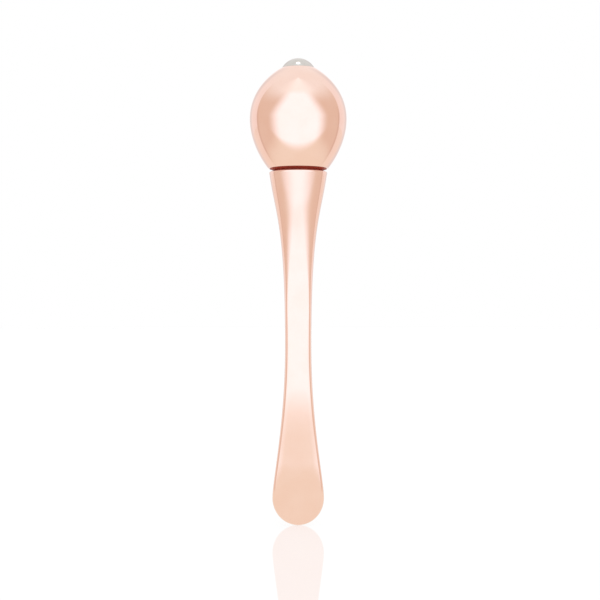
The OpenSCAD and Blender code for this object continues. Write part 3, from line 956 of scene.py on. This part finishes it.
@dataclass
class Bulb:
    """The plated bulb: an even wall, turned under at its lip and seated round the dome."""

    widest_h: float = 15.9
    lip_d: float = 19.4
    lip_round: float = 0.4
    lip_flare: float = 52.0
    crown_lean: float = 28.7
    dome_rise: float = 3.12
    seat_gap: float = 0.05
    wall: float = 1.0
    neck_bore_r: float = 8.1
    lower_hold: float = 5.15
    crown_hold: float = 4.7
    lower_ease: float = 0.37
    upper_ease: float = 0.53
    crown_round: float = 0.16
    lip_steps: int = 8
    edge_steps: int = 6
    seat_steps: int = 8
    steps: int = 56
    segments: int = 192

    def __post_init__(self) -> None:
        """Takes the bulb's outer sizes from the frame, and works out its curves."""
        shell = Box.of("bulb_shell")
        dome = Box.of("massage_tip")
        self.lip_z = shell.low.z
        self.radius = shell.radius
        self.dome_centre = Vector((0, dome.high.z - dome.radius))
        self.seat_r = dome.radius + self.seat_gap
        flare = Vector((math.cos(math.radians(self.lip_flare)), math.sin(math.radians(self.lip_flare))))
        lean = Vector((math.cos(math.radians(self.crown_lean)),
                       -math.sin(math.radians(self.crown_lean))))
        crown_r = math.sqrt(dome.radius**2 - (dome.radius - self.dome_rise) ** 2)
        start = Vector((self.lip_d / 2, self.lip_z + self.lip_round * (1 - flare.x)))
        widest_z = self.lip_z + self.widest_h
        crown_z = dome.high.z - self.dome_rise
        rise = crown_z - widest_z
        crown = Vector((crown_r, crown_z))
        self.lower = Curve(start, start + self.lower_hold * flare,
                           Vector((self.radius, widest_z - self.lower_ease * self.widest_h)),
                           Vector((self.radius, widest_z)))
        self.upper = Curve(Vector((self.radius, widest_z)),
                           Vector((self.radius, widest_z + self.upper_ease * rise)),
                           crown + self.crown_hold * lean, crown)
        upper = self.upper
        corner = upper.at(upper.where(lambda t: self.in_seat(upper.at(t))))
        self.corner = corner
        self.outer_share = upper.where(lambda t: (upper.at(t) - corner).length < self.crown_round)
        self.inner_share = upper.where(lambda t: self.in_seat(upper.inset(t, self.wall)))

    def in_seat(self, point: Vector) -> bool:
        """Whether a point of the profile lies inside the round seat of the dome."""
        return (point - self.dome_centre).length < self.seat_r

    def bearing(self, point: Vector) -> float:
        """The bearing of a point of the profile from the dome's centre, in degrees."""
        arm = point - self.dome_centre
        return math.degrees(math.atan2(arm.y, arm.x))

    def crown(self) -> tuple[Profile, Profile]:
        """The rounded edge at the crown, and the seat under it.

        Returns:
            The edge's points and the seat's points, from the outer face inwards.
        """
        first = self.bearing(self.corner) - math.degrees(self.crown_round / self.seat_r)
        last = self.bearing(self.upper.inset(self.inner_share, self.wall))
        seat = arc(tuple(self.dome_centre), self.seat_r, first, last, self.seat_steps)
        start, end = self.upper.at(self.outer_share), Vector(seat[0])
        edge = []
        for i in range(self.edge_steps):
            t = i / self.edge_steps
            edge.append(tuple((1 - t) ** 2 * start + 2 * t * (1 - t) * self.corner + t * t * end))
        return edge, seat

    def profile(self) -> Profile:
        """The shell's profile, up its outer face and down its inner one."""
        flare = self.lip_flare
        centre = (self.lip_d / 2 - self.lip_round * math.sin(math.radians(flare)),
                  self.lip_z + self.lip_round)
        lip = arc(centre, self.lip_round, -90, flare - 90, self.lip_steps)[:-1]
        edge, seat = self.crown()
        outer = [tuple(self.lower.at(i / self.steps)) for i in range(self.steps)]
        outer += [tuple(self.upper.at(self.outer_share * i / self.steps)) for i in range(self.steps)]
        inner = [self.upper.inset(self.inner_share * i / self.steps, self.wall)
                 for i in range(self.steps - 1, -1, -1)]
        inner += [self.lower.inset(1 - i / self.steps, self.wall) for i in range(1, self.steps + 1)]
        floor_z = self.lip_z + self.wall
        inner = [tuple(p) for p in inner if p.y > floor_z]
        return (lip + outer + edge + seat + inner
                + [(inner[-1][0], floor_z), (self.neck_bore_r, floor_z), (self.neck_bore_r, self.lip_z)])

    def build(self) -> None:
        """Makes the shell."""
        shape = Shape()
        shape.lathe(self.profile(), self.segments)
        make_piece("plated_bulb", shape, Body.HEAD, ROSE_PLATING, "bulb_shell")


@dataclass
class Dome:
    """The steel dome with its skirt and hollow, and what it carries."""

    skirt_wall: float = 0.6
    hollow_h: float = 1.6
    ledge: float = 0.4
    edge: float = 0.12
    steps: int = 48
    segments: int = 160

    def build(self) -> None:
        """Makes the dome, and dresses the pieces inside it."""
        box = Box.of("massage_tip")
        radius = box.radius
        centre_z = box.high.z - radius
        bore = radius - self.skirt_wall
        hollow = bore - self.ledge
        dome = arc((0, centre_z), radius, 0, 90, self.steps)[:-1]
        profile = ([(bore, box.low.z), (radius - self.edge, box.low.z), (radius, box.low.z + self.edge)]
                   + dome + [(0, box.high.z)])
        inside = [(0, centre_z + self.hollow_h), (hollow, centre_z + self.hollow_h),
                  (hollow, centre_z), (bore, centre_z)]
        shape = Shape()
        shape.lathe(inside + profile, self.segments)
        make_piece("steel_dome", shape, Body.TIP, POLISHED_STEEL, "massage_tip")
        dress(WHITE_CERAMIC, "heater_disc")
        dress(FELT_PAD, "insulating_pad")
        dress(BLACK_PLASTIC, "thermistor")
        dress(IVORY_PLASTIC, "tip_carriage")


@dataclass
class TipDrive:
    """The guide, seal, spring and leads that let the dome travel, and the switch below it."""

    joint: str = "tip_press"
    spring: Coil = Coil("return_spring", 0.22, 3.5, 0.75, 0.176)
    lead_r: float = 0.196
    lead_end: float = 0.2
    lead_bow: float = 0.12
    lead_reach: float = 4.5
    lead_angles: Span = (45.0, 225.0)
    lead_steps: int = 24
    lead_sides: int = 14

    @property
    def travel(self) -> float:
        """How far the dome travels, in millimetres."""
        limits = next(j["range_m"] for j in frame["joints"] if j["name"] == self.joint)
        return max(limits) / MM

    def shorten(self, piece: bpy.types.Object, node: str) -> None:
        """Gives a piece its own copy of its mesh.

        Args:
            piece: The piece.
            node: The construction node that it stands for.
        """
        box = Box.of(node)
        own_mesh(piece)

    def build_leads(self) -> bpy.types.Object:
        """Makes the two leads, each with a slight bow in its lower half that lets it give."""
        box = Box.of("heater_leads")
        low, high = box.low.z + self.lead_end, box.high.z - self.lead_end
        shape = Shape()
        for degrees in self.lead_angles:
            angle = math.radians(degrees)
            path = []
            for i in range(self.lead_steps + 1):
                share = i / self.lead_steps
                out = self.lead_reach - self.lead_bow * math.sin(math.pi * clamp(share * 2)) ** 2
                path.append(Vector((out * math.cos(angle), out * math.sin(angle), mix(low, high, share))))
            shape.tube(path, self.lead_r, self.lead_sides)
        return make_piece("lead_pair", shape, Body.HEAD, LEAD_JACKET, "heater_leads")

    def build(self) -> None:
        """Makes the sprung pieces, and dresses the rigid ones."""
        self.shorten(self.spring.build("tip_spring", Body.HEAD), self.spring.node)
        self.shorten(self.build_leads(), "heater_leads")
        dress(IVORY_PLASTIC, "tip_guide", "switch_plunger")
        dress(DARK_SILICONE, "tip_seal")
        dress(BLACK_PLASTIC, "switch_body")


@dataclass
class Core:
    """The chassis with its cells, contacts, motor and board."""

    def build(self) -> None:
        """Dresses the pieces of the core."""
        dress(IVORY_PLASTIC, "chassis")
        dress(CELL_STEEL, "button_cells")
        dress(BRASS, "positive_contact", "ground_strip", "motor_pins")
        dress(BLACK_RUBBER, "motor_sleeve")
        dress(SPRING_STEEL, "motor_case", "board_screws")
        dress(BLACK_PLASTIC, "motor_endcap", "board_components")
        dress(POLISHED_STEEL, "motor_shaft")
        dress(DENSE_ALLOY, "eccentric_weight")
        dress(BOARD_LAMINATE, "circuit_board")


# ---------- Studio ----------


@dataclass(frozen=True)
class Camera:
    """The camera, level with the middle of the photograph's frame."""

    distance: float = 0.43
    height: float = 0.0722
    aside: float = 0.000578
    view_w: float = 0.1925
    sensor: float = 36.0

    def build(self) -> None:
        """Makes the camera and gives it to the scene."""
        data = bpy.data.cameras.new("camera")
        data.sensor_width = self.sensor
        data.lens = self.sensor * self.distance / self.view_w
        camera = bpy.data.objects.new("camera", data)
        camera.location = (self.aside, -self.distance, self.height)
        camera.rotation_euler = (math.pi / 2, 0, 0)
        bpy.context.scene.collection.objects.link(camera)
        bpy.context.scene.camera = camera


@dataclass(frozen=True)
class Walls:
    """What stands round the wand, by its bearing from the front in degrees."""

    front: Color = (1.22, 1.45, 1.57)
    side: Color = (0.83, 0.75, 0.645)
    seam: Color = (0.76, 0.65, 0.565)
    rim: Color = (0.99, 1.00, 0.99)
    edge: Color = (0.84, 0.85, 0.85)
    back: Color = WHITE
    second: Color = (1.00, 0.95, 0.89)
    gain: float = 2.0
    front_fades: Span = (42.0, 78.0)
    seam_starts: Span = (107.0, 110.5)
    rim_starts: Span = (113.0, 117.0)
    edge_starts: Span = (138.0, 155.0)
    back_starts: Span = (160.0, 167.0)

    def scaled(self, color: Color) -> Color:
        """A colour that the strength of the light brings back to its level."""
        return tuple(c / self.gain for c in color)

    def azimuth(self, g: Graph, place: bpy.types.NodeSocket) -> bpy.types.NodeSocket:
        """The bearing of a place or direction from the front, in degrees."""
        split = g.node("ShaderNodeSeparateXYZ", {0: place}).outputs
        forward = g.math("MULTIPLY", split[1], -1.0)
        return g.math("DEGREES", g.math("ARCTAN2", g.math("ABSOLUTE", split[0]), forward))

    def light(self, g: Graph, kind: str, color: bpy.types.NodeSocket,
              one_mirror: int) -> bpy.types.NodeSocket:
        """A light of the walls' strength. What shows of it by way of two mirrors is plainer.

        Args:
            g: The graph.
            kind: The type of the node that shines.
            color: The colour, scaled down.
            one_mirror: The ray depth at which it is seen in a single mirror.

        Returns:
            The shader.
        """
        depth = g.node("ShaderNodeLightPath").outputs["Ray Depth"]
        mirrored = g.math("GREATER_THAN", depth, one_mirror + 0.5)
        shown = g.blend(mirrored, color, self.scaled(self.second))
        return g.node(kind, {"Color": shown, "Strength": self.gain}).outputs[0]

    def behind(self, g: Graph, azimuth: bpy.types.NodeSocket, fore: object, seam: object,
               rim: object) -> bpy.types.NodeSocket:
        """Goes on from the front and sides over a thin seam to the pale back.

        Args:
            g: The graph.
            azimuth: The bearing from the front, in degrees.
            fore: The colour of the front and the sides.
            seam: The colour of the seam.
            rim: The colour behind the seam.

        Returns:
            The colour.
        """
        around = fore
        for starts, color in ((self.seam_starts, seam), (self.rim_starts, rim),
                              (self.edge_starts, self.scaled(self.edge)),
                              (self.back_starts, self.scaled(self.back))):
            around = g.blend(g.step(azimuth, *starts), around, color)
        return around


@dataclass(frozen=True)
class Tent:
    """A light tent: a bright front that narrows upwards, warm sides and a pale top.

    Its spans are elevations in degrees, apart from top_turns, which is a bearing.
    """

    walls: Walls
    top_front: Color = (1.12, 1.31, 1.34)
    top_side: Color = (1.00, 1.09, 1.08)
    top_starts: Span = (24.0, 58.0)
    top_turns: Span = (8.0, 80.0)
    taper_span: Span = (6.0, 56.0)
    taper: float = 33.0
    front_stops: Span = (46.0, 60.0)
    seam_fades: Span = (6.0, 22.0)

    def build(self) -> None:
        """Makes the world, which is white to the camera and the tent to everything else."""
        world = bpy.data.worlds.new("tent")
        bpy.context.scene.world = world
        world.use_nodes = True
        g = Graph(world.node_tree)
        toward = g.node("ShaderNodeTexCoord").outputs["Generated"]
        upward = g.node("ShaderNodeSeparateXYZ", {0: toward}).outputs[2]
        color = self.color(g, self.walls.azimuth(g, toward), g.math("DEGREES", g.math("ARCSINE", upward)))
        studio = self.walls.light(g, "ShaderNodeBackground", color, one_mirror=2)
        plain = g.node("ShaderNodeBackground", {"Color": opaque(WHITE), "Strength": 1.0}).outputs[0]
        camera_ray = g.node("ShaderNodeLightPath").outputs["Is Camera Ray"]
        g.node("ShaderNodeOutputWorld", {"Surface": g.mix_shaders(camera_ray, studio, plain)})

    def color(self, g: Graph, azimuth: bpy.types.NodeSocket,
              elevation: bpy.types.NodeSocket) -> bpy.types.NodeSocket:
        """The colour of the tent.

        Args:
            g: The world's graph.
            azimuth: The bearing from the front, in degrees.
            elevation: The height above the horizon, in degrees.

        Returns:
            The colour, scaled down.
        """
        walls = self.walls
        top = g.blend(g.step(azimuth, *self.top_turns), walls.scaled(self.top_front),
                      walls.scaled(self.top_side))
        rise = g.step(elevation, *self.top_starts)
        taper = g.step(elevation, *self.taper_span, 0.0, self.taper, soft=False)
        bright = g.step(g.math("ADD", azimuth, taper), *walls.front_fades, 1.0, 0.0)
        low = g.step(elevation, *self.front_stops, 1.0, 0.0)
        fade = g.step(elevation, *self.seam_fades)
        seam = g.blend(fade, walls.scaled(walls.seam), walls.scaled(walls.side))
        around = walls.behind(g, azimuth, walls.scaled(walls.side), seam, walls.scaled(walls.rim))
        back = g.blend(rise, around, top)
        return g.blend(g.math("MULTIPLY", bright, low), back, walls.scaled(walls.front))


@dataclass(frozen=True)
class Floor:
    """A glossy white table. The wand's metal shows a painted reflection of it: an emission that is
    brighter where it lies further off, darker near the wand as painted shade, and laid out apart
    for the head and the handle.

    Its spans are lengths of a mirrored ray in metres, apart from handle_fades, which is a bearing in
    degrees, groove, which is a height, and shine_starts, which runs from steep to shallow views.
    """

    walls: Walls
    radius: float = 3.0
    # Painted shade: the floor close to the wand, as the metal shows it, is darker than the floor further off
    near_painted_shade: Color = (0.95, 0.965, 0.86)
    rim: Color = (0.96, 0.94, 0.87)
    outward: Span = (0.135, 0.33)
    head_front: Span = (0.146, 0.198)
    handle_front: Span = (0.124, 0.293)
    handle_fades: Span = (7.0, 97.0)
    groove: Span = (0.1125, 0.1165)
    segments: int = 96
    white: Color = (0.95, 0.95, 0.95)
    glow: float = 0.8
    paleness: float = 1.03
    shine: float = 0.31
    steep_shine: float = 0.08
    gloss: float = 0.02
    shine_starts: Span = (0.45, 0.78)

    def build(self) -> None:
        """Makes the floor, which isn't part of the wand."""
        shape = Shape()
        reach = self.radius / MM
        angles = [math.tau * i / self.segments for i in range(self.segments)]
        shape.cap(shape.ring([(reach * math.cos(a), reach * math.sin(a), 0.0) for a in angles]))
        floor = bpy.data.objects.new("floor", shape.mesh("floor"))
        floor.data.materials.append(self.material())
        bpy.context.scene.collection.objects.link(floor)
        floor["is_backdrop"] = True

    def painted_floor_reflection(self, g: Graph) -> bpy.types.NodeSocket:
        """The painted reflection that the wand's metal shows of the floor: an emission, darker near the
        wand as painted shade, with the handle seeing its front end spread wider.
        """
        walls = self.walls
        where = g.node("ShaderNodeNewGeometry").outputs["Position"]
        sideways = g.node("ShaderNodeSeparateXYZ", {0: where}).outputs[0]
        azimuth = walls.azimuth(g, where)
        length = g.node("ShaderNodeLightPath").outputs["Ray Length"]
        ahead = g.math("SQRT", g.math("SUBTRACT", g.math("POWER", length, 2.0),
                                      g.math("POWER", sideways, 2.0)))
        # Painted shade near the wand: short mirrored rays see this darker colour, and longer ones the lit
        # floor
        near_painted_shade = walls.scaled(self.near_painted_shade)
        out = g.step(length, *self.outward)
        side = g.blend(out, near_painted_shade, walls.scaled(walls.side))
        level = g.node("ShaderNodeLayerWeight", {"Blend": 0.5}).outputs["Facing"]
        # Painted reflection: ray length and facing tell the head's metal from the handle's, and each gets
        # its own floor picture
        on_head = g.step(g.math("MULTIPLY", length, g.math("SUBTRACT", 1.0, level)), *self.groove)
        lit = g.between(on_head, g.step(ahead, *self.handle_front), g.step(ahead, *self.head_front))
        front = g.blend(lit, near_painted_shade, walls.scaled(walls.front))
        aside = g.between(on_head, g.step(azimuth, *self.handle_fades), g.step(azimuth, *walls.front_fades))
        fore = g.blend(aside, front, side)
        rim = g.blend(out, near_painted_shade, walls.scaled(self.rim))
        seam = g.blend(out, near_painted_shade, walls.scaled(walls.seam))
        color = walls.behind(g, azimuth, fore, seam, rim)
        return walls.light(g, "ShaderNodeEmission", color, one_mirror=1)

    def material(self) -> bpy.types.Material:
        """The floor's material: a shadow-keeping white with a mirror gloss, and a painted reflection
        for the wand's metal.
        """
        made = bpy.data.materials.new("floor")
        made.use_nodes = True
        g = Graph(made.node_tree)
        diffuse = g.node("ShaderNodeBsdfDiffuse", {"Color": opaque(self.white)}).outputs[0]
        glow = g.node("ShaderNodeEmission",
                      {"Color": opaque(WHITE), "Strength": self.paleness}).outputs[0]
        lit = g.mix_shaders(self.glow, diffuse, glow)
        mirror = g.node("ShaderNodeBsdfGlossy",
                        {"Color": opaque(WHITE), "Roughness": self.gloss}).outputs[0]
        facing = g.node("ShaderNodeLayerWeight", {"Blend": 0.5}).outputs["Facing"]
        shine = g.step(facing, *self.shine_starts, self.steep_shine, self.shine)
        table = g.mix_shaders(shine, lit, mirror)
        path = g.node("ShaderNodeLightPath").outputs
        mirrored = g.math("MAXIMUM", path["Is Glossy Ray"], path["Is Transmission Ray"])
        # Mirrored rays see the painted reflection in place of the diffuse floor
        seen = g.mix_shaders(mirrored, diffuse, self.painted_floor_reflection(g))
        both = g.mix_shaders(path["Is Camera Ray"], seen, table)
        g.node("ShaderNodeOutputMaterial", {"Surface": both})
        return made


@dataclass(frozen=True)
class Lamp:
    """A round soft lamp that lights one piece alone."""

    name: str
    place: tuple[float, float, float]
    size: float
    level: float
    target: tuple[float, float, float]

    def build(self, lit: bpy.types.Object) -> None:
        """Makes the lamp. Its level is the brightness of its face, where 1 is white.

        Args:
            lit: The piece that it lights.
        """
        data = bpy.data.lights.new(self.name, "AREA")
        data.shape = "DISK"
        data.size = self.size
        face = math.pi * (self.size / 2) ** 2
        data.energy = self.level * math.pi * face
        lamp = bpy.data.objects.new(self.name, data)
        lamp.location = self.place
        aim = Vector(self.target) - Vector(self.place)
        lamp.rotation_euler = aim.to_track_quat("-Z", "Y").to_euler()
        bpy.context.scene.collection.objects.link(lamp)
        linked = bpy.data.collections.new(f"{self.name}_lights")
        linked.objects.link(lit)
        lamp.light_linking.receiver_collection = linked


@dataclass(frozen=True)
class Studio:
    """The camera, the tent, the floor, and the lamp that glints on the dome."""

    lamp: Lamp = Lamp("dome_lamp", (0.0, -0.045, 0.75), 0.18, 1.9, (0.0, 0.0, 0.148))

    def build(self) -> None:
        """Makes the studio round the finished wand."""
        bpy.context.scene.view_settings.view_transform = "Standard"
        Camera().build()
        walls = Walls()
        Tent(walls).build()
        Floor(walls).build()
        self.lamp.build(bpy.data.objects["steel_dome"])


def write_sizes() -> None:
    """Logs the box of the construction and the box of the dressed wand."""
    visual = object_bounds()
    for axis, low, high, cad_low, cad_high in zip("xyz", *visual, *cad_box):
        log.info("%s: from %.5f to %.5f, and in the construction from %.5f to %.5f",
                 axis, low, high, cad_low, cad_high)


def main() -> None:
    """Builds each sub-assembly of the wand in order, and the studio round them."""
    logging.basicConfig(level=logging.INFO, format="%(name)s: %(message)s")
    for part in (Handle(), Neck(), Bulb(), Dome(), TipDrive(), Core(), Studio()):
        part.build()
    write_sizes()


if __name__ == "__main__":
    main()
